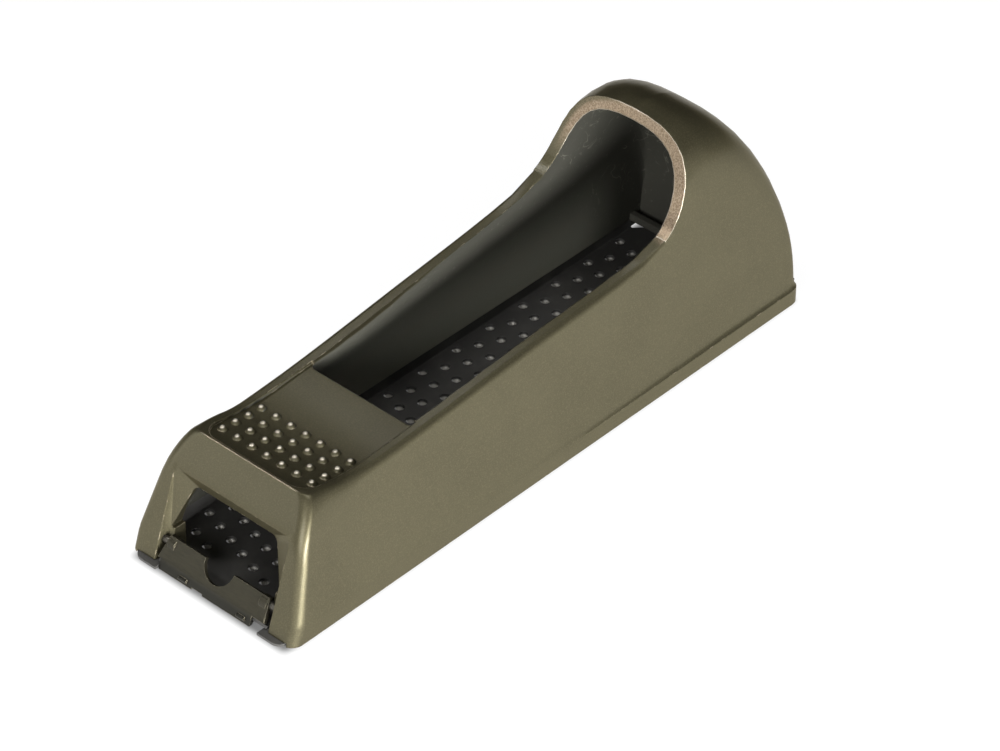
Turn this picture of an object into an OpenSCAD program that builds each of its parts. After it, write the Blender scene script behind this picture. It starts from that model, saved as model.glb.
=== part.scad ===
// Palm-size rasp plane: a cast body over a pressed, perforated rasp blade.
// Toe at -X, heel at +X, tips of the teeth on z = 0.

/* [Body] */
// Length of the casting along its base
body_length = 156.2; // [140:0.2:175]
// Width of the casting at its base
body_width = 46.4; // [45:0.2:52]
// Height of the finger pad's front edge
toe_height = 28.9; // [26:0.1:32]
// Height of the hood that covers the palm
hood_height = 55.9; // [52:0.2:64]
// Thickness of the cast wall
wall = 2.8; // [2:0.1:3.4]
// Lean of the front face from upright
face_lean = 19; // [14:1:24]
// Lean of the brow between the window and the finger pad
brow_lean = 36; // [28:1:42]
// Height where the front face turns into the brow
brow_z = 22; // [20:0.5:24]
// Draft of the side walls at the toe
toe_draft = 11; // [8:0.5:13]
// Draft of the side walls beside the finger pad
pad_draft = 16.5; // [14:0.5:18]
// Draft of the side walls at the heel
heel_draft = 4; // [3:0.5:8]
// Height of the skirt round the base
skirt_height = 3.7; // [3:0.1:4.5]
// How far the skirt stands out from the side at the heel
skirt_step = 0.9; // [0.4:0.1:1.2]
// Radius of the upright corners at the toe
toe_corner = 2.8; // [2:0.2:5]
// Radius of the upright corners at the heel
heel_corner = 3; // [2:0.5:6]

/* [Palm opening] */
// Length of the finger pad from the toe to the opening
pad_length = 43.6; // [40:0.2:48]
// Distance from the heel back to where the rim turns up into the hood
hood_length = 40.6; // [36:0.2:44]
// Lowest height of the rim, behind the finger pad
rim_low = 27.1; // [25:0.1:28.5]
// Height of the rim where it turns up
rim_high = 36.1; // [34:0.1:40]
// How far the mouth of the hood leans back over the turn
mouth_run = 10.6; // [8:0.2:13]

/* [Finger pad] */
// Width of the lip between the brow and the pad
pad_lip = 0.6; // [0.5:0.1:2]
// Run of the slope from the pad's front edge down to its floor
pad_slope = 15; // [10:0.5:18]
// Depth of the pad below its rim
pad_depth = 0.8; // [0.6:0.1:1.5]
// Half of the pad's width
pad_half = 14.5; // [13:0.1:15]
// Radius of the pad's front corners
pad_corner = 4.5; // [3:0.5:8]
// Bumps across the pad
bumps_across = 7; // [5:1:8]
// Rows of bumps along the pad
bump_rows = 4; // [2:1:5]
// Distance of the first row of bumps behind the toe
bump_in = 17.2; // [17:0.1:19]
// Spacing of the bumps across
bump_pitch = 4.16; // [3.4:0.02:4.3]
// Spacing of the rows
row_pitch = 3.6; // [3:0.1:4]
// Radius of a bump
bump_r = 1.15; // [0.8:0.05:1.4]

/* [Front window] */
// Height of the window's top edge
window_top = 18.8; // [17:0.1:20]
// Half of the window's width at its top
window_half = 11.4; // [10:0.1:12.4]
// Spread of the window's sides from upright, going down
window_spread = 20; // [14:1:24]
// Radius of the window's top corners
window_corner = 2.2; // [1:0.1:3]
// Half of the width of the bevelled frame round the window
frame_half = 16.2; // [15.7:0.1:16.6]
// How far the bevelled frame rises above the window
frame_rise = 3.1; // [1.6:0.1:3.4]
// Depth of the bevel
frame_depth = 2; // [1:0.1:2.6]
// Half of the width between the legs
leg_half = 15.4; // [15.2:0.1:15.6]
// Height of the ledges that carry the pivot pins
ledge_z = 8.2; // [7.9:0.1:8.6]

/* [Blade] */
// Width of the blade over its folded sides
blade_width = 42; // [40:0.1:42.4]
// Thickness of the blade's sheet
sheet = 0.6; // [0.5:0.05:0.8]
// Height of a tooth below the sheet
tooth_height = 0.9; // [0.6:0.05:1.2]
// Height of the folded sides above the sheet's underside
fold_height = 3.8; // [3:0.1:4.4]
// Radius of a tooth's hole
hole_r = 1.1; // [0.8:0.05:1.3]
// Spacing of the teeth in one row along the blade
tooth_pitch = 10.5; // [9:0.1:12]
// Spacing of the rows of teeth across the blade
tooth_row = 2.33; // [2.2:0.01:2.8]
// Shift of each row of teeth against the one before
tooth_shift = 6; // [5:0.1:7]
// Distance from the toe to the first teeth
teeth_in = 10.6; // [10:0.2:15]
// Distance from the heel to the last teeth
teeth_out = 8.5; // [7.5:0.5:14]
// Width of the heel tab that hooks behind the cast bar
heel_tab = 24; // [16:1:30]
// Chamfer of the blade's heel corners
heel_chamfer = 2; // [1.5:0.1:4]
// How far the blade's toe corners reach ahead of the casting
toe_reach = 1.2; // [0.8:0.1:1.6]
// Radius of the blade's toe corners
toe_round = 2.5; // [1.5:0.1:3]

/* [Clip] */
// Width of the clip at its top edge
clip_width = 28; // [26:0.1:28.4]
// Width of the clip at its lower bend
clip_foot = 30; // [28.4:0.1:30]
// Thickness of the clip's plate
clip_sheet = 1; // [0.8:0.1:1.1]
// Distance of the plate's lower bend behind the toe of the casting
bend_in = 0.3; // [0.2:0.1:0.5]
// Height of the lower bend
bend_z = 3.2; // [3:0.1:3.4]
// How far the foot of the clip's lip stands ahead of the casting
foot_out = 0.5; // [0.3:0.1:0.6]
// Distance of the plate's top edge behind the toe of the casting
edge_in = 3.2; // [3:0.1:3.4]
// Height of the plate's top edge
edge_z = 7.5; // [7.2:0.1:7.7]
// Radius of the half-round notch in the top edge
notch_r = 4; // [3:0.1:4.2]
// Distance of the pivot behind the toe of the casting
pivot_in = 3.4; // [3.3:0.1:3.7]
// Height of the pivot
pivot_z = 5.6; // [5.5:0.1:5.8]
// Diameter of the pivot pins
pin_d = 1.8; // [1.4:0.1:1.8]
// Radius of the clip's knuckles
knuckle_r = 1.6; // [1.5:0.1:1.9]
// Width of a knuckle
knuckle_w = 1.8; // [1.4:0.1:2]
// Width of each hook
hook_width = 5; // [3:0.5:6]
// Distance of the hooks from the middle
hook_y = 8.2; // [7.4:0.2:9]
// Width of the gaps in the clip's lip
lip_gap = 3; // [2:0.2:3.4]

/* [Fits] */
// Radial clearance of a pivot pin in its bores
pin_clear = 0.05; // [0.02:0.01:0.1]
// Clearance between the blade and its seat in the casting
blade_clear = 0.2; // [0.1:0.05:0.4]
// Running clearance between the clip's hooks and the blade
hook_clear = 0.25; // [0.2:0.05:0.4]

/* [Hidden] */
$fn = 48;
eps = 0.02;
base_z = tooth_height;
curl_r = pivot_z - base_z;
hook_in_r = curl_r + hook_clear;
hook_out_r = hook_in_r + sheet;
curl_angle = 35;
hook_tip = 10;
lip_tip = 33;
toe = (toe_reach - body_length) / 2;
heel = toe + body_length;
pivot_x = toe + pivot_in;
base_half = body_width / 2;
lean_run = 30;
pad_end = toe + pad_length;
turn_x = heel - hood_length;
crown_run = 26;
crown_x = heel - skirt_step - crown_run;
skirt_from = 10;
skirt_run = body_length - 40;
skirt_ease = 1.4;
seat_z = base_z + fold_height + blade_clear;
seat_half = blade_width / 2 + blade_clear;
cavity_front = toe + 7.5;
fold_in = 11;
fold_start = toe + fold_in;
bar_t = 1.5;
bar_height = 5;
tab_height = 4.2;
blade_end = heel - wall - skirt_step - 0.6;
tab_x = blade_end - sheet - 1.4;
bar_x = tab_x - blade_clear - bar_t;
corner_x = toe - toe_reach;

// Smooth curve through the rows [x, value] of a list of keys
function slope(k, i) =
    let (a = max(i - 1, 0), b = min(i + 1, len(k) - 1))
    (k[b][1] - k[a][1]) / (k[b][0] - k[a][0]);
function span(k, x, i = 0) = i >= len(k) - 2 || x < k[i + 1][0] ? i : span(k, x, i + 1);
function smooth(k, x) =
    let (i = span(k, x), w = k[i + 1][0] - k[i][0], t = min(1, max(0, (x - k[i][0]) / w)))
    (2 * t * t * t - 3 * t * t + 1) * k[i][1] + (t * t * t - 2 * t * t + t) * w * slope(k, i)
    + (3 * t * t - 2 * t * t * t) * k[i + 1][1] + (t * t * t - t * t) * w * slope(k, i + 1);

// Height of the rim over a point of the base, from the pad's front edge to the hood
rim_keys = [[toe, toe_height], [toe + 11, rim_low + 0.9], [toe + 19, rim_low + 0.2],
    [toe + 30, rim_low], [pad_end, rim_low + 0.7], [pad_end + 29, rim_low + 3.4],
    [turn_x - 8, rim_high - 2.4], [turn_x, rim_high]];
draft_keys = [[toe, toe_draft], [toe + 12, toe_draft + 3.4], [toe + 25, pad_draft], [0, (pad_draft + heel_draft) / 2 + 1],
    [turn_x, heel_draft + 3.2], [heel, heel_draft]];
drop_keys = [[toe, 13], [toe + 14, 5], [toe + 26, 1.8], [turn_x - 10, 1.5], [turn_x, 0.4]];
inset_keys = [[toe, 3.4], [toe + 14, 1.4], [turn_x - 10, 1.1], [turn_x, 0.4]];

// Height of the hood's ridge, flat in front of the crown and a fall to the heel behind it
crown_power = 2;
crown_ease = 0.018;
fall_foot = 10;
function hood_top(x) = x < crown_x
    ? hood_height - crown_ease * pow(crown_x - x, 2)
    : fall_foot + (hood_height - fall_foot)
        * pow(1 - pow(min(1, (x - crown_x) / (heel - skirt_step - crown_x)), crown_power), 1 / crown_power);

// Plan of the base: square ends with rounded corners
function corner_cut(d, r) = d >= r ? 0 : r - sqrt(max(0, r * r - pow(r - d, 2)));
function base_at(x) = base_half - corner_cut(x - toe, toe_corner) - corner_cut(heel - x, heel_corner);
function step_at(x) = skirt_step * min(1, max(0.15, (x - toe - skirt_from) / skirt_run));
function side_at(x, z) = base_at(x) - step_at(x)
    - (z - skirt_height - base_z - skirt_ease) * tan(smooth(draft_keys, x));
// Run of the front face back from the toe at height z, and its fade along the body
brow_ease = 3;
function face_run(z) = let (d = z - brow_z) tan(face_lean) * (z - base_z) + (tan(brow_lean) - tan(face_lean))
    * (d < -brow_ease ? 0 : d > brow_ease ? d : pow(d + brow_ease, 2) / (4 * brow_ease));
function lean_at(x) = max(0, 1 - (x - toe) / lean_run);

// Half-section corner: a curve from the side at height top - drop to the top at half-width reach
corner_steps = 9;
fullness = 0.6;
function hood_full(x) = 0.76 + 0.1 * min(1, max(0, (x - crown_x) / (heel - crown_x)));
function bez(a, b, c, d, t) = pow(1 - t, 3) * a + 3 * t * pow(1 - t, 2) * b + 3 * t * t * (1 - t) * c + pow(t, 3) * d;
function corner(x, top, drop, reach, thick, full = fullness) =
    let (a = [side_at(x, top - drop) - thick, top - drop], v = [side_at(x, top) - thick, top], b = [reach, top])
    [for (i = [0:corner_steps]) bez(a, a + full * (v - a), b + full * (v - b), b, i / corner_steps)];

function low(z, top, k) = min(z, top - 0.05 * (5 - k));
function skirt(x, top) = [[base_at(x), base_z], [base_at(x), low(base_z + skirt_height, top, 1)],
    [base_at(x) - 0.6 * step_at(x), low(base_z + skirt_height + 0.5, top, 2)],
    [base_at(x) - step_at(x), low(base_z + skirt_height + skirt_ease, top, 3)]];

// One ring of points: the half-section and its mirror image, leant forward at the toe
function ring(x, half) = [for (p = half) [x + lean_at(x) * face_run(p[1]), p[0], p[1]],
    for (i = [len(half) - 1:-1:0]) [x + lean_at(x) * face_run(half[i][1]), -half[i][0], half[i][1]]];
function rim_ring(x) = let (top = smooth(rim_keys, x))
    ring(x, concat(skirt(x, top), corner(x, top, smooth(drop_keys, x),
        side_at(x, top) - smooth(inset_keys, x), 0)));
function hood_drop(x, top) = top * (0.31 + 0.2 * min(1, max(0, (x - crown_x) / (heel - crown_x))));
function hood_ring(x, top) = ring(x, concat(skirt(x, top), corner(x, top, min(hood_drop(x, top), top - 6.1), 0.3, 0,
    hood_full(x))));
function foot_ring(x, top) = ring(x, concat(skirt(x, top), [for (i = [0:corner_steps])
    [(base_at(x) - step_at(x)) * (1 - i / corner_steps) + 0.3, top - 0.02 * (corner_steps - i) / corner_steps]]));

module loft(rings) {
    n = len(rings[0]);
    m = len(rings);
    // the end caps are ladders of level strips, so they follow a curved face
    polyhedron(points = [for (r = rings) each r], faces = concat(
        [for (i = [0:n / 2 - 2]) [i, i + 1, n - 2 - i, n - 1 - i]],
        [for (j = [0:m - 2], i = [0:n - 1]) each [
            [j * n + i, (j + 1) * n + i, j * n + (i + 1) % n],
            [j * n + (i + 1) % n, (j + 1) * n + i, (j + 1) * n + (i + 1) % n]]],
        [for (i = [0:n / 2 - 2]) let (f = (m - 1) * n) [f + n - 1 - i, f + n - 2 - i, f + i + 1, f + i]]));
}

toe_steps = [0, 0.03, 0.11, 0.24, 0.45, 0.7, 1];
rim_xs = concat([for (s = toe_steps) toe + s * toe_corner], [for (s = [6.5:3.5:27.5]) toe + s],
    [for (i = [0:1:12]) toe + 31 + (turn_x - 0.1 - toe - 31) * i / 12]);
hood_xs = concat([for (i = [0:3]) turn_x + (crown_x - turn_x) * i / 4],
    [for (a = [90:-6:0]) crown_x + (heel - skirt_step - crown_x) * pow(cos(a), 2 / crown_power)]);

module outer() loft(concat(
    [for (x = rim_xs) rim_ring(x)],
    [for (x = hood_xs) hood_ring(x, hood_top(x))],
    [foot_ring(heel - skirt_step + eps, base_z + skirt_height + skirt_ease),
    foot_ring(heel - 0.6 * skirt_step, base_z + skirt_height + 0.5),
    foot_ring(heel - eps, base_z + skirt_height), foot_ring(heel, base_z + skirt_height - 0.1)]));

// The hollow: under the pad, open at the palm opening, and up into the hood
pad_under = 3.4;
// inner side of the front wall: upright behind the ledges, parallel to the face above them
function hollow_run(z) = max(0, face_run(z) + wall * 1.1 + toe - cavity_front);
function hollow_lean(x) = max(0, 1 - (x - cavity_front) / 12);
function hollow_ring(x, half) = [for (p = half) [x + hollow_lean(x) * hollow_run(p[1]), p[0], p[1]],
    for (i = [len(half) - 1:-1:0]) [x + hollow_lean(x) * hollow_run(half[i][1]), -half[i][0], half[i][1]]];
function wall_at(x) = wall / cos(smooth(draft_keys, x));
function plain_ring(x, top, squeeze = 0) = hollow_ring(x, concat(
    [for (z = [-1, ledge_z, 14]) [side_at(x, max(2, z)) - wall_at(x) - squeeze, z]], corner(x, top, 2, side_at(x, top) - wall_at(x) - 2 - squeeze,
    wall_at(x) + squeeze)));
function dome_ring(x, top) = hollow_ring(x, concat(
    [for (z = [-1, ledge_z, 14]) [side_at(x, max(2, z)) - wall_at(x), z]], corner(x, top, min(hood_drop(x, top), top - 5), 0.3, wall_at(x),
        hood_full(x))));
open_top = hood_height + 4;
back_in = heel - skirt_step - wall;
dome_xs = concat([for (i = [0:3]) turn_x + 2 + (crown_x - turn_x - 2) * i / 4],
    [for (a = [90:-7.5:15]) crown_x + (back_in - crown_x) * pow(cos(a), 2 / crown_power)]);
function dome_top(x) = fall_foot + (hood_height - wall - fall_foot)
    * pow(1 - pow(min(1, max(0, x - crown_x) / (back_in - crown_x)), crown_power), 1 / crown_power);
module hollow() loft(concat(
    [for (x = [cavity_front:3:pad_end - 6]) plain_ring(x, rim_low - pad_under)],
    [plain_ring(pad_end - eps, rim_low - pad_under, 1.2), plain_ring(pad_end, rim_high + 6, 1.2),
    plain_ring(pad_end + 0.4, rim_high + 6, 0.5), plain_ring(pad_end + 1.3, rim_high + 6, 0.1)],
    [for (i = [0:1:8]) plain_ring(pad_end + 2.4 + (turn_x + 1.9 - pad_end - 2.4) * i / 8, rim_high + 6)],
    [for (x = dome_xs) dome_ring(x, dome_top(x))]));

// The ground mouth of the hood: an S from the rim up to the crown's front edge
module mouth_cut() rotate([90, 0, 0]) linear_extrude(body_width + 2, center = true)
    polygon(concat([[turn_x - 3, hood_height + 2], [turn_x - 3, rim_high - 0.55], [turn_x - 0.15, rim_high + 0.02]],
        [for (i = [1:12]) let (t = i / 12) [
            bez(turn_x, turn_x + 0.45 * mouth_run, turn_x + 0.8 * mouth_run, turn_x + mouth_run, t),
            bez(rim_high, rim_high + 3, rim_high + 9, hood_height + 2, t)]]));

pad_front = toe + face_run(toe_height) + pad_lip;
function pad_floor(x) = smooth([[pad_front - 0.2, toe_height - 0.6], [pad_front + 1.6, rim_low + 0.7],
    [pad_front + pad_slope, rim_low - pad_depth], [pad_end + 1, rim_low]], x);
module pad_recess() intersection() {
    translate([0, 0, rim_low - 4]) linear_extrude(12) union() {
        translate([pad_front + pad_corner, -pad_half]) square([pad_length, 2 * pad_half]);
        translate([pad_front, -pad_half + pad_corner]) square([pad_corner + 1, 2 * (pad_half - pad_corner)]);
        for (s = [-1, 1]) translate([pad_front + pad_corner, s * (pad_half - pad_corner)]) circle(pad_corner);
    }
    rotate([90, 0, 0]) linear_extrude(body_width, center = true) polygon(concat(
        [for (i = [0:10]) let (x = pad_front - 0.5 + (pad_end + 1.5 - pad_front) * i / 10) [x, pad_floor(x)]],
        [[pad_end + 1, toe_height + 5], [pad_front - 0.5, toe_height + 5]]));
}

bump_front = toe + bump_in;
module bumps() for (i = [0:bump_rows - 1], j = [0:bumps_across - 1])
    translate([bump_front + i * row_pitch, (j - (bumps_across - 1) / 2) * bump_pitch,
        pad_floor(bump_front + i * row_pitch) - 0.3 * bump_r]) sphere(bump_r, $fn = 24);

// A window outline standing up in the YZ plane, wider at its foot and rounded at its top corners
module window_outline(half, spread, top, r, widest) intersection() {
    union() {
        polygon([[-half - tan(spread) * (top + 2), -2], [half + tan(spread) * (top + 2), -2],
            [half + tan(spread) * r, top - r], [half - r, top - eps], [r - half, top - eps], [-half - tan(spread) * r, top - r]]);
        for (s = [-1, 1]) translate([s * (half + tan(spread) * r - r / cos(spread)), top - r]) circle(r);
    }
    translate([-widest, -3]) square([2 * widest, top + 4]);
}
module upright(x, t) translate([x, 0, 0]) rotate([90, 0, 90]) linear_extrude(t) children();
// A thin slice that leans with the front face, at a depth behind it
module leant(depth) translate([toe, 0, base_z]) multmatrix([[1, 0, tan(face_lean), depth], [0, 1, 0, 0], [0, 0, 1, 0], [0, 0, 0, 1]])
    upright(0, 0.1) translate([0, -base_z]) children();
boss_half = clip_width / 2 + hook_clear;
boss_in = 3.9;
module window() {
    // opening above the ledges
    intersection() {
        upright(toe - 2, 20) window_outline(window_half, window_spread, window_top, window_corner, leg_half - 0.2);
        translate([toe - 3, -base_half, ledge_z]) cube([30, body_width, window_top]);
    }
    // bevel that spreads to the leant face
    hull() {
        leant(-0.1) window_outline(frame_half, 0, window_top + frame_rise, 1, frame_half);
        leant(frame_depth) window_outline(window_half, window_spread, window_top, window_corner, leg_half);
    }
    // slot for the clip's plate, and the bay between the ledges for its knuckles and hooks
    translate([toe - 2, -leg_half, -1]) cube([2 + boss_in, 2 * leg_half, 1 + ledge_z + 2]);
    translate([toe - 2, -boss_half, -1]) cube([2 + pivot_in + 5, 2 * boss_half, 1 + ledge_z + eps]);
}

module blade_seat() {
    translate([toe - 2, -seat_half, -1]) cube([body_length, 2 * seat_half, 1 + base_z + sheet + blade_clear / 2]);
    translate([fold_start - 1, -seat_half, -1]) cube([blade_end + blade_clear - fold_start + 1, 2 * seat_half, 1 + seat_z]);
}

module across(x, z, r, w) translate([x, 0, z]) rotate([90, 0, 0]) cylinder(r = r, h = w, center = true);

pin_out = base_half - 4.8;
knuckle_out = clip_width / 2 - 0.2;
knuckle_in = knuckle_out - knuckle_w;
pin_in = knuckle_in + 0.15;
module body() color([0.45, 0.42, 0.33]) {
    difference() {
        union() {
            difference() {
                outer();
                hollow();
                mouth_cut();
                pad_recess();
            }
            bumps();
            // cast bar that the blade's heel tab hooks behind
            translate([bar_x, skirt_step + wall / 2 - base_half, base_z + sheet + blade_clear])
                cube([bar_t, body_width - wall - 2 * skirt_step, bar_height]);
        }
        window();
        blade_seat();
        across(pivot_x, pivot_z, pin_d / 2 + pin_clear, 2 * (pin_out + 0.3));
    }
}

// Teeth in a slanted lattice, each a hole with a curled lip on its heel side
teeth_first = toe + 70.7;
teeth_from = toe + teeth_in;
teeth_to = heel - teeth_out;
tooth_rows = floor((blade_width - 4.2) / tooth_row);
function row_start(j) = let (x = teeth_first - tooth_shift * j)
    x - tooth_pitch * floor((x - teeth_from) / tooth_pitch);
function tooth_list() = [for (j = [0:tooth_rows]) for (x = [row_start(j):tooth_pitch:teeth_to])
    [x, (tooth_rows / 2 - j) * tooth_row]];
lip_low = 0.35;
module tooth() rotate([0, 0, -85]) rotate_extrude(angle = 170, $fn = 24) polygon([[hole_r + 0.02, base_z + 0.1],
    [hole_r + 0.5, base_z + 0.1], [lip_low + 0.42, 0], [lip_low, 0]]);

function arc(cx, cz, r, a0, a1, n) = [for (i = [0:n]) let (a = a0 + (a1 - a0) * i / n) [cx - r * sin(a), cz - r * cos(a)]];
fold_r = 0.9;
module channel(x0, x1) upright(x0, x1 - x0) {
    h = blade_width / 2;
    polygon(concat([[-h, base_z + fold_height]], [for (a = [0:15:90])
            [-h + fold_r - fold_r * cos(a), base_z + fold_r - fold_r * sin(a)]],
        [for (a = [90:-15:0]) [h - fold_r + fold_r * cos(a), base_z + fold_r - fold_r * sin(a)]],
        [[h, base_z + fold_height], [h - sheet, base_z + fold_height]],
        [for (a = [0:15:90]) [h - fold_r + (fold_r - sheet) * cos(a), base_z + fold_r - (fold_r - sheet) * sin(a)]],
        [for (a = [90:-15:0]) [-h + fold_r - (fold_r - sheet) * cos(a), base_z + fold_r - (fold_r - sheet) * sin(a)]],
        [[-h + sheet, base_z + fold_height]]));
}
module curl(y0, y1, angle) translate([0, y1, 0]) rotate([90, 0, 0]) linear_extrude(y1 - y0)
    polygon(concat([[pivot_x + 0.6, base_z + sheet], [pivot_x + 0.6, base_z]], arc(pivot_x, pivot_z, curl_r, 0, angle, 12),
        arc(pivot_x, pivot_z, curl_r - sheet, angle, 0, 12)));
curl_half = leg_half - 0.15;
flat_half = curl_half - 0.8;
toe_flat = blade_width / 2;
module blade() color([0.16, 0.15, 0.14]) union() {
    difference() {
        union() {
            channel(fold_start, blade_end - heel_chamfer);
            translate([pivot_x + 0.5, -toe_flat, base_z]) cube([fold_start - pivot_x, 2 * toe_flat, sheet]);
            translate([blade_end - heel_chamfer, 0, base_z]) linear_extrude(sheet) polygon([[-0.1, -toe_flat + fold_r],
                [0, -toe_flat + fold_r], [heel_chamfer, heel_chamfer + fold_r - toe_flat],
                [heel_chamfer, toe_flat - heel_chamfer - fold_r], [0, toe_flat - fold_r], [-0.1, toe_flat - fold_r]]);
            // flat corners under the legs
            for (s = [-1, 1]) translate([0, s * (flat_half + toe_flat) / 2, base_z]) linear_extrude(sheet) union() {
                w = toe_flat - flat_half;
                translate([corner_x + toe_round, -w / 2]) square([pivot_x + 1 - corner_x - toe_round, w]);
                translate([corner_x, s > 0 ? -w / 2 : toe_round - w / 2]) square([toe_round + 0.5, w - toe_round]);
                translate([corner_x + toe_round, s * (w / 2 - toe_round)]) circle(toe_round);
            }
        }
        for (t = tooth_list()) translate([t[0], t[1], base_z - 0.05]) cylinder(r = hole_r, h = sheet + 0.1, $fn = 24);
    }
    // toe curled up round the pivot
    curl(-curl_half, curl_half, curl_angle);
    // heel tab, bent up behind the bar
    translate([tab_x, -heel_tab / 2, base_z + sheet / 2]) cube([sheet, heel_tab, tab_height]);
    for (t = tooth_list()) translate([t[0], t[1], 0]) tooth();
}

// The clip: a leant plate with a half-round notch, a lip that follows the blade's curled toe and two hooks under it
bend = [toe + bend_in, bend_z];
edge = [toe + edge_in, edge_z];
rise = norm(edge - bend);
inward = [edge[1] - bend[1], bend[0] - edge[0]] * clip_sheet / rise;
along = (edge - bend) / rise;
lip_gap_y = hook_y - 4.9;
lip_left = flat_half - hook_clear;
lip_right = hook_y + 3.4;
module clip_slice(y0, y1, pts) translate([0, y1, 0]) rotate([90, 0, 0]) linear_extrude(y1 - y0) polygon(pts);
foot = [toe - foot_out, base_z];
module lip(y0, y1, tip) clip_slice(y0, y1, concat([bend + inward, bend + inward * 0.95 + along * 0.5,
    bend + inward * 0.05 + along * 0.5, bend, foot],
    arc(pivot_x, pivot_z, hook_out_r, lip_tip, tip - 0.01, 6), arc(pivot_x, pivot_z, hook_in_r, tip, curl_angle + 8, 8)));
module clip() color([0.30, 0.28, 0.23]) {
    half = clip_width / 2;
    difference() {
        union() {
            translate([bend[0], 0, bend[1]]) rotate([0, -atan2(edge[1] - bend[1], edge[0] - bend[0]), 0])
                translate([0, 0, -clip_sheet]) linear_extrude(clip_sheet) difference() {
                    polygon([[0, -clip_foot / 2], [rise, -half], [rise, half], [0, clip_foot / 2]]);
                    translate([rise, 0]) circle(notch_r);
                }
            difference() {
                lip(-lip_right, lip_left, lip_tip);
                translate([toe - 9, lip_gap_y - lip_gap / 2, -1]) cube([9 + bend_in + 2, lip_gap, bend_z - 0.9]);
            }
            for (s = [-1, 1]) lip(s * hook_y - hook_width / 2, s * hook_y + hook_width / 2, hook_tip);
            // small ridges pressed out of the lip beside its gaps
            for (s = [-1, 1]) translate([0, s * hook_y - 0.8, 0]) across((bend[0] + foot[0]) / 2, (bend[1] + foot[1]) / 2 - 0.3, 0.5, 2.2);
            for (s = [-1, 1]) translate([0, s * (knuckle_in + knuckle_out) / 2, 0])
                across(pivot_x, pivot_z, knuckle_r, knuckle_w);
        }
        for (s = [-1, 1]) translate([0, s * (knuckle_in + leg_half) / 2, 0])
            across(pivot_x, pivot_z, pin_d / 2 + pin_clear, leg_half - knuckle_in);
    }
}

module pivot_pin(s) color([0.55, 0.54, 0.5])
    translate([0, s * (pin_in + pin_out) / 2, 0]) across(pivot_x, pivot_z, pin_d / 2, pin_out - pin_in);
module pivot_pin_left() pivot_pin(1);
module pivot_pin_right() pivot_pin(-1);

body();
blade();
clip();
pivot_pin_left();
pivot_pin_right();
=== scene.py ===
import math

import bmesh
import bpy
from mathutils import Matrix, Vector


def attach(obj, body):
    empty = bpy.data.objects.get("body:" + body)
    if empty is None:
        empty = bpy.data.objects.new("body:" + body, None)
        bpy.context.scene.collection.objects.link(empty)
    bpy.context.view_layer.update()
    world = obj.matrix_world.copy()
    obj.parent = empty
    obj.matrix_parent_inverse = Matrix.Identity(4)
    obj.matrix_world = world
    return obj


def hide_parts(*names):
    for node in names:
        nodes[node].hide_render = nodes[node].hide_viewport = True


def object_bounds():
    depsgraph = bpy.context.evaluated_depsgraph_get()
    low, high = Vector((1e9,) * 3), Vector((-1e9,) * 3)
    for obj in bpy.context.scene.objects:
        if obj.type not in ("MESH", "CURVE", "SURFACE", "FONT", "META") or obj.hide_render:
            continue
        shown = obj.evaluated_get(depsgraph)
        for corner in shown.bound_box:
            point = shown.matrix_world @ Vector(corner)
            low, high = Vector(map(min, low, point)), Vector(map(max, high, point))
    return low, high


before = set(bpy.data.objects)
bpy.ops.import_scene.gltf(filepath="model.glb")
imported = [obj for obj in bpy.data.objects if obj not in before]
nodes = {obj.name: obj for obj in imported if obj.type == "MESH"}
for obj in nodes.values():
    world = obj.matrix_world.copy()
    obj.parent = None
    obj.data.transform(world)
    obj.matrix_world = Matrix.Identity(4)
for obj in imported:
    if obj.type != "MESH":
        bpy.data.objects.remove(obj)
cadLow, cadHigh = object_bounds()
print("frame loaded:", ", ".join(sorted(nodes)))


# Shader maths: a socket that takes part in expressions
class Sock:
    def __init__(self, graph, socket):
        self.graph, self.socket = graph, socket

    def maths(self, kind, *others, **options):
        return self.graph.node("ShaderNodeMath", dict(operation=kind, **options), [self, *others])

    def after(self, kind, first):  # this socket as the second value
        return self.graph.node("ShaderNodeMath", dict(operation=kind), [first, self])

    def __add__(self, other): return self.maths("ADD", other)
    def __sub__(self, other): return self.maths("SUBTRACT", other)
    def __mul__(self, other): return self.maths("MULTIPLY", other)
    def __truediv__(self, other): return self.maths("DIVIDE", other)
    def __pow__(self, other): return self.maths("POWER", other)
    def __abs__(self): return self.maths("ABSOLUTE")
    def __rsub__(self, other): return self.after("SUBTRACT", other)
    def __rtruediv__(self, other): return self.after("DIVIDE", other)
    def __rpow__(self, other): return self.after("POWER", other)
    __radd__ = __add__
    __rmul__ = __mul__

    def step(self, none, full):  # 0 at none, 1 at full, smooth between
        values = {"Value": self, "From Min": none, "From Max": full}
        return self.graph.node("ShaderNodeMapRange", dict(interpolation_type="SMOOTHSTEP"), values)

    def clip(self): return self.maths("ADD", 0.0, use_clamp=True)
    def most(self, other): return self.maths("MAXIMUM", other)


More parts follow.
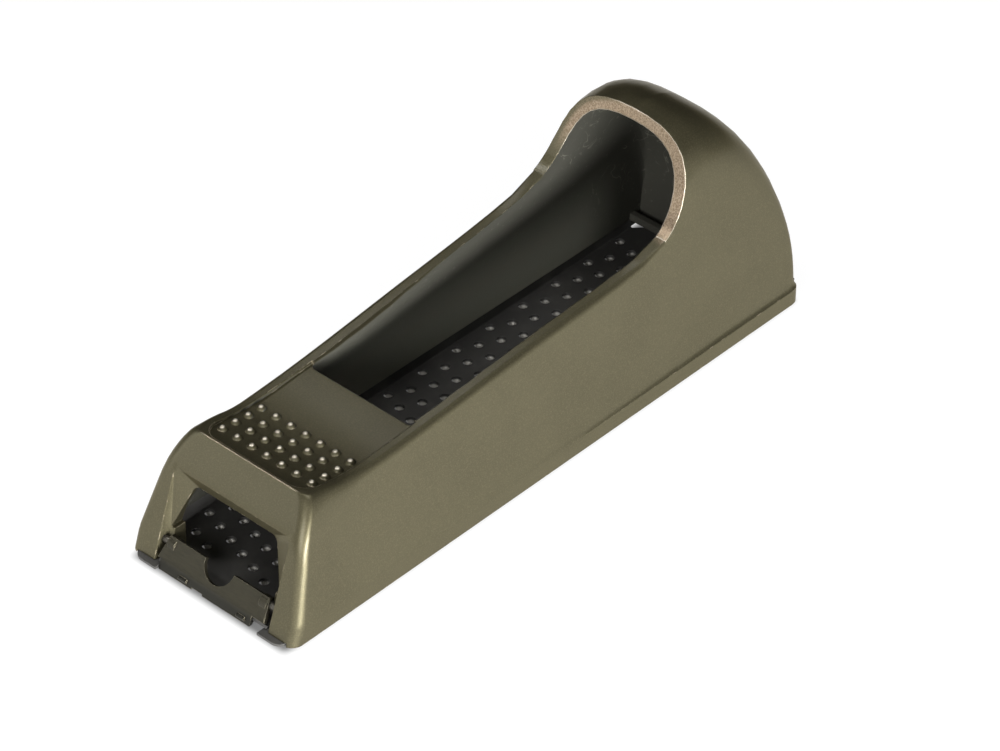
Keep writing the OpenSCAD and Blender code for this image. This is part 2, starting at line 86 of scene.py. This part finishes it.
# A node tree and the kinds of node that this scene uses
class Graph:
    edgeSpan = (0.015, 0.12)  # how far a softened normal turns at an edge
    bevelSamples = 6

    def __init__(self, tree):
        self.tree = tree

    def node(self, kind, settings=None, values=None, out=0):
        made = self.tree.nodes.new(kind)
        for name, value in (settings or {}).items():
            setattr(made, name, value)
        pairs = enumerate(values) if isinstance(values, list) else (values or {}).items()
        for key, value in pairs:
            if isinstance(value, Sock):
                self.tree.links.new(value.socket, made.inputs[key])
            else:
                made.inputs[key].default_value = value
        return Sock(self, made.outputs[out])

    def noise(self, place, scale, detail, rough, warp=0.0):
        values = {"Vector": place, "Scale": scale, "Detail": detail, "Roughness": rough, "Distortion": warp}
        return self.node("ShaderNodeTexNoise", dict(noise_dimensions="3D"), values)

    def stretch(self, place, factors):
        return self.node("ShaderNodeVectorMath", dict(operation="MULTIPLY"), [place, factors])

    def rayIs(self, *kinds):  # 1 where the ray is of one of these kinds
        found = [self.node("ShaderNodeLightPath", out=f"Is {kind} Ray") for kind in kinds]
        return sum(found[1:], found[0]).clip()

    def mix(self, factor, a, b):
        return self.node("ShaderNodeMix", dict(data_type="RGBA"), {0: factor, 6: a, 7: b}, 2)

    def tint(self, colour, amount):  # a colour scaled by a mask
        return self.node("ShaderNodeVectorMath", dict(operation="SCALE"), {0: colour, 3: amount})

    def bump(self, height, distance, strength, under):
        values = {"Height": height, "Distance": distance, "Strength": strength, "Normal": under}
        return self.node("ShaderNodeBump", None, values)

    def part(self, vector, axis):
        return self.node("ShaderNodeSeparateXYZ", None, [vector], axis)

    def parts(self, vector):
        return [self.part(vector, axis) for axis in "XYZ"]

    def position(self):
        return self.node("ShaderNodeTexCoord", out="Object")

    def trueNormal(self):
        return self.node("ShaderNodeNewGeometry", out="True Normal")

    def softened(self, radius):  # the normal as if every edge had this round
        return self.node("ShaderNodeBevel", dict(samples=self.bevelSamples), {"Radius": radius})

    def rounded(self, radius):  # a softened normal, and a mask of the edges that it softens
        soft = self.softened(radius)
        plain = self.node("ShaderNodeNewGeometry", out="Normal")
        along = self.node("ShaderNodeVectorMath", dict(operation="DOT_PRODUCT"), [soft, plain], "Value")
        return soft, (1 - along).step(*self.edgeSpan)


# A material under construction
class Paper(Graph):
    def __init__(self, name, **shaderValues):
        self.material = bpy.data.materials.new(name)
        self.material.use_nodes = True
        super().__init__(self.material.node_tree)
        self.shader = self.tree.nodes["Principled BSDF"]
        for socket, value in shaderValues.items():
            self.shader.inputs[socket.replace("_", " ")].default_value = value

    def feed(self, **links):
        for name, value in links.items():
            self.tree.links.new(value.socket, self.shader.inputs[name.replace("_", " ")])


def dress(mesh, paper):
    mesh.materials.clear()
    mesh.materials.append(paper.material)
    print("dressed", mesh.name)


# Casting: bronze enamel outside, bare charcoal inside, the hood's mouth ground bright.
# A pair of numbers is where a fade begins and where it is full: metres, or parts of a normal or a noise.
# A noise is given by its scale, detail, roughness and, if it has any, warp.
casting = dict(
    crease=34, weld=2e-6, sliver=1e-6,
    fold=dict(top=(0.07421, 0.01888, 0.0140), foot=(0.07421, 0.01911, 0.01107), reach=0.00006),

    # enamel; its bright worn colour serves both worn enamel at chipped edges and a painted highlight along
    # the front crest
    paint=(0.092, 0.083, 0.049, 1), paintDark=(0.081, 0.073, 0.043, 1), flake=(0.124, 0.110, 0.065, 1),
    paintWornAndHighlight=(0.62, 0.53, 0.39, 1), grazing=(0.55, 0.50, 0.38, 1),
    coat=0.20, coatRough=0.20, metal=0.80, rough=0.37, edgeRound=0.0004,
    flakeNoise=(3400, 2, 0.7), flakeSpan=(0.42, 0.72), flakeShare=0.8, flakeRough=0.10,
    flakeDepth=0.000012, flakeRelief=0.5,
    mottleNoise=(60, 3, 0.55), mottleSpan=(0.35, 0.7), mottleShare=0.8,
    chipNoise=(420, 2, 0.5), chipSpan=(0.54, 0.64), chipShare=0.5,
    # the front crest: a painted highlight, a bright line along the brow's top edge
    crestAlong=(-0.0600, -0.0640), crestHeight=(0.0262, 0.0272), crestHighlightGain=3, crestHighlightShare=0.8,

    # crowns of the finger pad's bumps, each a painted highlight in bright metal, polished
    bumpFirst=-0.06042, bumpPitch=(0.0036, 0.00416), bumpRows=4, bumpCount=7, bumpHighlightSize=(0.00064, 0.000288),
    bumpFade=0.1, bumpFacing=(0.4, 0.7), bumpHeight=(0.024, 0.0245), crownPolish=0.1,

    # hollow, and the enamel that drifts a little over its rim
    inside=(0.050, 0.050, 0.042, 1), insideHood=(0.074, 0.073, 0.061, 1), insidePaintedLight=(0.30, 0.30, 0.245, 1),
    insideMetal=0.02, insideRough=0.30,
    hollowMiddle=(0.02, 0.015), hollowEnds=0.2, hollowTurn=(0.002, -0.001), hollowFront=(-0.0665, -0.0645),
    rimHeight=0.0273, rimRise=0.0088, rimAlong=(-0.030, 0.040), rimWander=0.002, rimFade=0.0010,
    # deepHeight, deepFront, deepBack: where the lower hollow is painted lighter, as painted light against
    # its shade
    rimEnd=(0.033, 0.040), deepHeight=(0.032, 0.008), deepFront=(-0.045, -0.025), deepBack=(0.068, 0.052),
    hoodAlong=(0.030, 0.046), hoodAcross=(-0.012, 0.004), hoodTurn=(-0.95, -0.5),

    # scuffs inside the hood
    scuff=(0.30, 0.29, 0.24, 1), scuffAlong=(0.036, 0.046), scuffSpan=(0.50, 0.6), scuffShare=0.35,
    lineNoise=(130, 2, 0.5, 1.2), lineWidth=(0.012, 0.002),
    grainNoise=(900, 3, 0.6), grainSpan=(0.60, 0.8), grainShare=0.2, grainDepth=0.00006, grainRelief=0.6,
    grainInside=0.9, grainOutside=0.05,

    # ground mouth: it leans with the hood's S, has no side lean and ends in a tail at the right
    # the bright metal colour is a painted highlight on the mouth's edges and on the bump crowns
    ground=(0.36, 0.285, 0.205, 1), groundDark=(0.19, 0.14, 0.090, 1), highlightMetal=(0.80, 0.73, 0.61, 1),
    groundNoise=(2600, 3, 0.7), groundSpan=(0.34, 0.66), groundHighlightGain=1.6,
    groundMetal=0.85, groundPolish=0.06,
    mouthLow=0.0350, mouthFade=0.0016, mouthFront=(0.036, 0.038), mouthBack=(0.0505, 0.0500),
    mouthLevel=(0.12, 0.04), mouthFacing=(-0.1, -0.25), mouthLip=0.0030,
    leftAcross=(0.004, 0.016), leftFade=0.006, leftRise=0.004, tailTurn=(-0.03, -0.15),
    lipTurn=(0.03, 0.12), lipAcross=(-0.002, 0.008),
)


# A smooth-shaded twin of the casting's solid: one skin, creased only at the casting's own edges
def smoothTwin(name, node, body):
    c = casting
    mesh = nodes[node].data.copy()
    mesh.name = name
    skin = bmesh.new()
    skin.from_mesh(mesh)
    foldTop, foldFoot = Vector(c["fold"]["top"]), Vector(c["fold"]["foot"])
    for vert in skin.verts:  # the doubled strip on the heel wall is drawn shut
        side = Vector((1, math.copysign(1, vert.co.y), 1))
        if min((vert.co * side - end).length for end in (foldTop, foldFoot)) < c["fold"]["reach"]:
            vert.co = foldFoot * side
    bmesh.ops.remove_doubles(skin, verts=skin.verts, dist=c["weld"])
    bmesh.ops.dissolve_degenerate(skin, edges=skin.edges, dist=c["sliver"])
    skin.to_mesh(mesh)
    skin.free()
    if "custom_normal" in mesh.attributes:
        mesh.attributes.remove(mesh.attributes["custom_normal"])
    mesh.shade_smooth()
    mesh.set_sharp_from_angle(angle=math.radians(c["crease"]))
    twin = bpy.data.objects.new(name, mesh)
    bpy.context.scene.collection.objects.link(twin)
    even = twin.modifiers.new("evenNormals", "WEIGHTED_NORMAL")
    even.keep_sharp = True
    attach(twin, body)
    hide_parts(node)
    print("smooth twin of", node)
    return twin


# a painted highlight on the crown of each bump in the grid
def bumpCrownHighlights(x, y, z, nz):  # the crown of each bump in the grid
    c = casting
    pitchX, pitchY = c["bumpPitch"]
    rows, count, fade = c["bumpRows"], c["bumpCount"], c["bumpFade"]
    row = (x - c["bumpFirst"]) / pitchX
    place = y / pitchY
    across = (row - row.maths("ROUND")) * pitchX
    along = (place - place.maths("ROUND")) * pitchY
    crown = ((across * across + along * along) ** 0.5).step(*c["bumpHighlightSize"])
    inRows = abs(row - (rows - 1) / 2).step(rows / 2, rows / 2 - fade)
    inCount = abs(place).step(count / 2, count / 2 - fade)
    onPad = nz.step(*c["bumpFacing"]) * z.step(*c["bumpHeight"])
    return (crown * inRows * inCount * onPad).clip()


def hollowMask(spot, facing, mottle):  # faces that look back at a line along the hollow's middle
    c = casting
    x, y, z = spot
    nx, ny, nz = facing
    middleX, middleZ = c["hollowMiddle"]
    outward = nx * (x - middleX) * c["hollowEnds"] + ny * y + nz * (z - middleZ)
    rim = c["rimHeight"] + x.step(*c["rimAlong"]) * c["rimRise"]
    underRim = (rim - z + (mottle - 0.5) * c["rimWander"]).step(0.0, c["rimFade"])
    underRim = underRim.most(x.step(*c["rimEnd"]))
    return outward.step(*c["hollowTurn"]) * x.step(*c["hollowFront"]) * underRim


def mouthMask(paper, spot, nx, ny):  # the ground band round the hood's mouth
    c = casting
    x, y, z = spot
    left = y.step(*c["leftAcross"])
    lean = paper.part(paper.softened(c["mouthLip"]), "Y") - ny
    tail = lean.step(*c["tailTurn"]) * (1 - left)
    height = z - c["mouthLow"] + (tail - left) * c["leftRise"]
    mouth = height.step(0.0, c["mouthFade"] + left * c["leftFade"])
    mouth = mouth * x.step(*c["mouthFront"]) * x.step(*c["mouthBack"])
    mouth = mouth * abs(ny).step(*c["mouthLevel"]) * nx.step(*c["mouthFacing"])
    enamelLip = lean.step(*c["lipTurn"]) * y.step(*c["lipAcross"])
    return mouth * (1 - enamelLip)


def enamelColour(paper, spot, edge, mottle, flake, chip):
    c = casting
    colour = paper.mix(mottle.step(*c["mottleSpan"]) * c["mottleShare"], c["paint"], c["paintDark"])
    colour = paper.mix(flake.step(*c["flakeSpan"]) * c["flakeShare"], colour, c["flake"])
    # chips along edges are worn enamel; the front crest line is a painted highlight in the same bright
    # colour
    crest = (edge * c["crestHighlightGain"]).clip() * spot[0].step(*c["crestAlong"]) * spot[2].step(*c["crestHeight"])
    wearAndCrestHighlight = (edge * chip.step(*c["chipSpan"]) * c["chipShare"] + crest * c["crestHighlightShare"]).clip()
    return paper.mix(wearAndCrestHighlight, colour, c["paintWornAndHighlight"])


def hollowColour(paper, position, spot, ny, mottle, grain):
    c = casting
    x, y, z = spot
    hooded = x.step(*c["hoodAlong"]) * y.step(*c["hoodAcross"]) * ny.step(*c["hoodTurn"])
    # painted light: the lower hollow is painted much lighter, cancelling the shade that falls there
    deepPaintedLight = z.step(*c["deepHeight"]) * x.step(*c["deepFront"]) * x.step(*c["deepBack"])
    lines = abs(paper.noise(position, *c["lineNoise"]) - 0.5).step(*c["lineWidth"])
    lines = lines * mottle.step(*c["scuffSpan"]) * x.step(*c["scuffAlong"])
    scuffs = (lines * c["scuffShare"] + grain.step(*c["grainSpan"]) * c["grainShare"]).clip()
    colour = paper.mix(hooded, c["inside"], c["insideHood"])
    colour = paper.mix(deepPaintedLight, colour, c["insidePaintedLight"])
    return paper.mix(scuffs, colour, c["scuff"])


def groundColour(paper, position, edge):
    c = casting
    stone = paper.noise(position, *c["groundNoise"])
    colour = paper.mix(stone.step(*c["groundSpan"]), c["groundDark"], c["ground"])
    # painted highlight along the ground mouth's edges
    return paper.mix((edge * c["groundHighlightGain"]).clip(), colour, c["highlightMetal"])


def makeCasting():
    c = casting
    shell = smoothTwin("bodyShell", "body", "plane")
    paper = Paper("bronzeEnamel", Coat_Roughness=c["coatRough"], Specular_Tint=c["grazing"])
    position = paper.position()
    spot = paper.parts(position)
    facing = paper.parts(paper.trueNormal())
    nx, ny, nz = facing
    soft, edge = paper.rounded(c["edgeRound"])
    flake = paper.noise(position, *c["flakeNoise"])
    mottle = paper.noise(position, *c["mottleNoise"])
    grain = paper.noise(position, *c["grainNoise"])
    chip = paper.noise(position, *c["chipNoise"])

    inside = hollowMask(spot, facing, mottle)
    mouth = mouthMask(paper, spot, nx, ny)
    crownHighlight = bumpCrownHighlights(*spot, nz)
    enamel = enamelColour(paper, spot, edge, mottle, flake, chip)
    # painted highlight: each bump crown takes the bright metal colour
    enamel = paper.mix(crownHighlight, enamel, c["highlightMetal"])
    colour = paper.mix(inside, enamel, hollowColour(paper, position, spot, ny, mottle, grain))
    colour = paper.mix(mouth, colour, groundColour(paper, position, edge))

    rough = c["rough"] + flake * c["flakeRough"] + inside * c["insideRough"]
    rough = rough - mouth * c["groundPolish"] - crownHighlight * c["crownPolish"]
    shine = c["metal"] - inside * (c["metal"] - c["insideMetal"])
    shine = (shine + mouth * (c["groundMetal"] - c["metal"]) + crownHighlight * c["crownPolish"]).clip()
    coat = ((1 - inside) * (1 - mouth) * c["coat"]).clip()
    skin = paper.bump(flake, c["flakeDepth"], c["flakeRelief"], soft)
    pits = grain * (inside * c["grainInside"] + c["grainOutside"])
    skin = paper.bump(pits, c["grainDepth"], c["grainRelief"], skin)
    paper.feed(Base_Color=colour, Roughness=rough, Metallic=shine, Coat_Weight=coat, Normal=skin)
    dress(shell.data, paper)
    dress(nodes["body"].data, paper)


makeCasting()

# Rasp blade: blackened sheet, its tooth tips rubbed bright
raspBlade = dict(
    oxide=(0.070, 0.068, 0.064, 1), worn=(0.125, 0.120, 0.110, 1), bright=(0.60, 0.58, 0.53, 1),
    blotchNoise=(140, 3, 0.6), blotchSpan=(0.45, 0.75), blotchShare=0.5,
    fineNoise=(2600, 2, 0.6), fineDepth=0.00001, fineRelief=0.6,
    edgeShare=0.5, edgeRound=0.00015, tipHeight=(0.00098, 0.0006),
    rough=0.44, blotchRough=0.16, metal=0.2, tipMetal=0.3,
)


def makeBlade():
    c = raspBlade
    paper = Paper("blackenedSteel")
    position = paper.position()
    soft, edge = paper.rounded(c["edgeRound"])
    blotch = paper.noise(position, *c["blotchNoise"])
    fine = paper.noise(position, *c["fineNoise"])
    toothTip = paper.part(position, "Z").step(*c["tipHeight"])
    colour = paper.mix(blotch.step(*c["blotchSpan"]) * c["blotchShare"], c["oxide"], c["worn"])
    colour = paper.mix((edge * c["edgeShare"]).clip(), colour, c["worn"])
    colour = paper.mix(toothTip, colour, c["bright"])
    rough = c["rough"] + blotch * c["blotchRough"]
    shine = (toothTip * c["tipMetal"] + c["metal"]).clip()
    skin = paper.bump(fine, c["fineDepth"], c["fineRelief"], soft)
    paper.feed(Base_Color=colour, Roughness=rough, Metallic=shine, Normal=skin)
    dress(nodes["blade"].data, paper)


makeBlade()

# Clip: drab spring steel, darker towards its foot, rubbed along the edges
spring = dict(
    drab=(0.046, 0.042, 0.028, 1), rubbed=(0.19, 0.17, 0.120, 1), foot=(0.022, 0.021, 0.016, 1),
    footHeight=(0.0040, 0.0022), edgeRound=0.0002, edgeShare=0.9,
    drawnStretch=(2400, 500, 2400), drawnNoise=(1, 3, 0.6), drawnSpan=(0.35, 0.75), drawnShare=0.35,
    drawnDepth=0.00001, drawnRelief=0.5, blotchNoise=(320, 3, 0.6), blotchSpan=(0.35, 0.6),
    rough=0.40, drawnRough=0.14, metal=0.72, blotchMetal=0.1,
)


def makeClip():
    c = spring
    paper = Paper("springSteel")
    position = paper.position()
    soft, edge = paper.rounded(c["edgeRound"])
    drawn = paper.noise(paper.stretch(position, c["drawnStretch"]), *c["drawnNoise"])
    blotch = paper.noise(position, *c["blotchNoise"])
    colour = paper.mix(drawn.step(*c["drawnSpan"]) * c["drawnShare"], c["drab"], c["foot"])
    colour = paper.mix(paper.part(position, "Z").step(*c["footHeight"]), colour, c["foot"])
    rubbed = (edge * blotch.step(*c["blotchSpan"]) * c["edgeShare"]).clip()
    colour = paper.mix(rubbed, colour, c["rubbed"])
    rough = c["rough"] + drawn * c["drawnRough"]
    shine = c["metal"] + blotch * c["blotchMetal"]
    skin = paper.bump(drawn, c["drawnDepth"], c["drawnRelief"], soft)
    paper.feed(Base_Color=colour, Roughness=rough, Metallic=shine, Normal=skin)
    dress(nodes["clip"].data, paper)


makeClip()

# Pivot pins: turned steel, dulled
pins = dict(
    pale=(0.13, 0.12, 0.10, 1), dull=(0.07, 0.065, 0.055, 1),
    turnedStretch=(200, 4000, 200), turnedNoise=(1, 2, 0.5),
    rough=0.34, turnedRough=0.15, metal=0.8, turnedMetal=0.1,
)


def makePins():
    c = pins
    paper = Paper("pinSteel")
    turned = paper.noise(paper.stretch(paper.position(), c["turnedStretch"]), *c["turnedNoise"])
    colour = paper.mix(turned, c["pale"], c["dull"])
    rough = c["rough"] + turned * c["turnedRough"]
    shine = c["metal"] + turned * c["turnedMetal"]
    paper.feed(Base_Color=colour, Roughness=rough, Metallic=shine)
    dress(nodes["pivot_pin_left"].data, paper)
    dress(nodes["pivot_pin_right"].data, paper)


makePins()

# Camera: fitted to the edges of the casting and the lattice of teeth
shot = dict(
    azimuth=-47.023, elevation=38.078, distance=0.91754, target=(0.00005, 0, 0.020),
    lens=160, sensor=36, shiftX=0.0247, shiftY=-0.0277, near=0.01, far=20,
)


def makeCamera():
    s = shot
    azimuth, elevation = math.radians(s["azimuth"]), math.radians(s["elevation"])
    level = math.cos(elevation)
    back = Vector((math.sin(azimuth) * level, -math.cos(azimuth) * level, math.sin(elevation)))
    right = Vector((math.cos(azimuth), math.sin(azimuth), 0))
    up = back.cross(right)
    data = bpy.data.cameras.new("shotCamera")
    data.lens, data.sensor_width, data.sensor_fit = s["lens"], s["sensor"], "HORIZONTAL"
    data.shift_x, data.shift_y = s["shiftX"], s["shiftY"]
    data.clip_start, data.clip_end = s["near"], s["far"]
    camera = bpy.data.objects.new("shotCamera", data)
    bpy.context.scene.collection.objects.link(camera)
    stand = Matrix.Translation(Vector(s["target"]) + back * s["distance"])
    camera.matrix_world = stand @ Matrix((right, up, back)).transposed().to_4x4()
    bpy.context.scene.camera = camera
    print("camera placed")


makeCamera()

# Studio: a white table under a pale backdrop that darkens overhead, and soft lamps
studio = dict(
    floorHalf=3.0, worldLevel=0.36, backdrop=1.0, overhead=0.45, domeSpan=(0.12, 0.75),
    # the table's glow beneath the plane is dimmed, a painted shadow
    tableGlow=0.88, tableShadeGlow=0.15, tableColour=0.62, tableSeen=0.20, tableRough=0.9,
    underOut=0.001, underIn=0.002, underSideIn=0.003, aimHeight=0.03,
)
lamps = [
    dict(name="frontLamp", place=(-0.90, -0.30, 0.40), size=(0.5, 0.5), watts=5.0),
    dict(name="cornerLamp", place=(-0.37, -0.92, 0.13), size=(0.75, 0.18), watts=20.0),
    dict(name="sideLamp", place=(0.45, -1.0, 0.30), size=(0.8, 0.8), watts=0.6),
    dict(name="highLamp", place=(0.35, 0.54, 0.80), size=(0.2, 0.2), watts=0.6),
    dict(name="crestLamp", place=(-0.30, 0.54, 0.81), size=(0.16, 0.16), watts=1.3),
    dict(name="overLamp", place=(0.0, -0.1, 1.1), size=(0.5, 0.5), watts=3.2),
    dict(name="leftLamp", place=(-0.75, 0.75, 0.35), size=(0.7, 0.7), watts=2.6),
]


def makeWorld():
    s = studio
    world = bpy.data.worlds.new("studioWorld")
    world.use_nodes = True
    bpy.context.scene.world = world
    sky = Graph(world.node_tree)
    direction = sky.node("ShaderNodeTexCoord", out="Generated")
    dome = sky.part(direction, "Z").step(*s["domeSpan"])
    shown = s["backdrop"] * (1 - dome) + s["overhead"] * dome
    seen = sky.rayIs("Camera", "Glossy", "Transmission")
    level = seen * shown + (1 - seen) * s["worldLevel"]
    sky.tree.links.new(level.socket, sky.tree.nodes["Background"].inputs["Strength"])
    print("world made")


def grey(level):
    return (level, level, level, 1)


def makeTable():
    s = studio
    bpy.ops.mesh.primitive_plane_add(size=2 * s["floorHalf"], location=(0, 0, 0))
    floor = bpy.context.object
    floor.name = "studioFloor"
    paper = Paper("studioFloor", Roughness=s["tableRough"], Specular_IOR_Level=0.0, Emission_Strength=1.0)
    position = paper.position()
    x, y = paper.part(position, "X"), paper.part(position, "Y")
    toe, heel, side = cadLow[0], cadHigh[0], cadHigh[1]
    # painted shade: the table's glow is dimmed beneath the plane
    under = x.step(toe - s["underOut"], toe + s["underIn"])  # beneath the plane
    under = under * x.step(heel + s["underOut"], heel - s["underIn"])
    under = under * abs(y).step(side, side - s["underSideIn"])
    shown = paper.rayIs("Camera", "Glossy", "Transmission") * s["tableGlow"]
    glow = shown * (1 - under * (1 - s["tableShadeGlow"]))
    colour = paper.mix(paper.rayIs("Camera"), grey(s["tableColour"]), grey(s["tableSeen"]))
    paper.feed(Base_Color=colour, Emission_Color=paper.tint((1.0, 1.0, 1.0), glow))
    floor.data.materials.append(paper.material)
    print("table made")


def makeLamps():
    for lamp in lamps:
        data = bpy.data.lights.new(lamp["name"], "AREA")
        data.shape, data.energy = "ELLIPSE", lamp["watts"]
        data.size, data.size_y = lamp["size"]
        thing = bpy.data.objects.new(lamp["name"], data)
        thing.location = lamp["place"]
        aim = Vector(lamp["place"]) - Vector((0, 0, studio["aimHeight"]))
        thing.rotation_euler = aim.to_track_quat("Z", "Y").to_euler()
        bpy.context.scene.collection.objects.link(thing)
    print("lamps made:", len(lamps))


makeWorld()
makeTable()
makeLamps()
bpy.context.scene.view_settings.view_transform = "Standard"
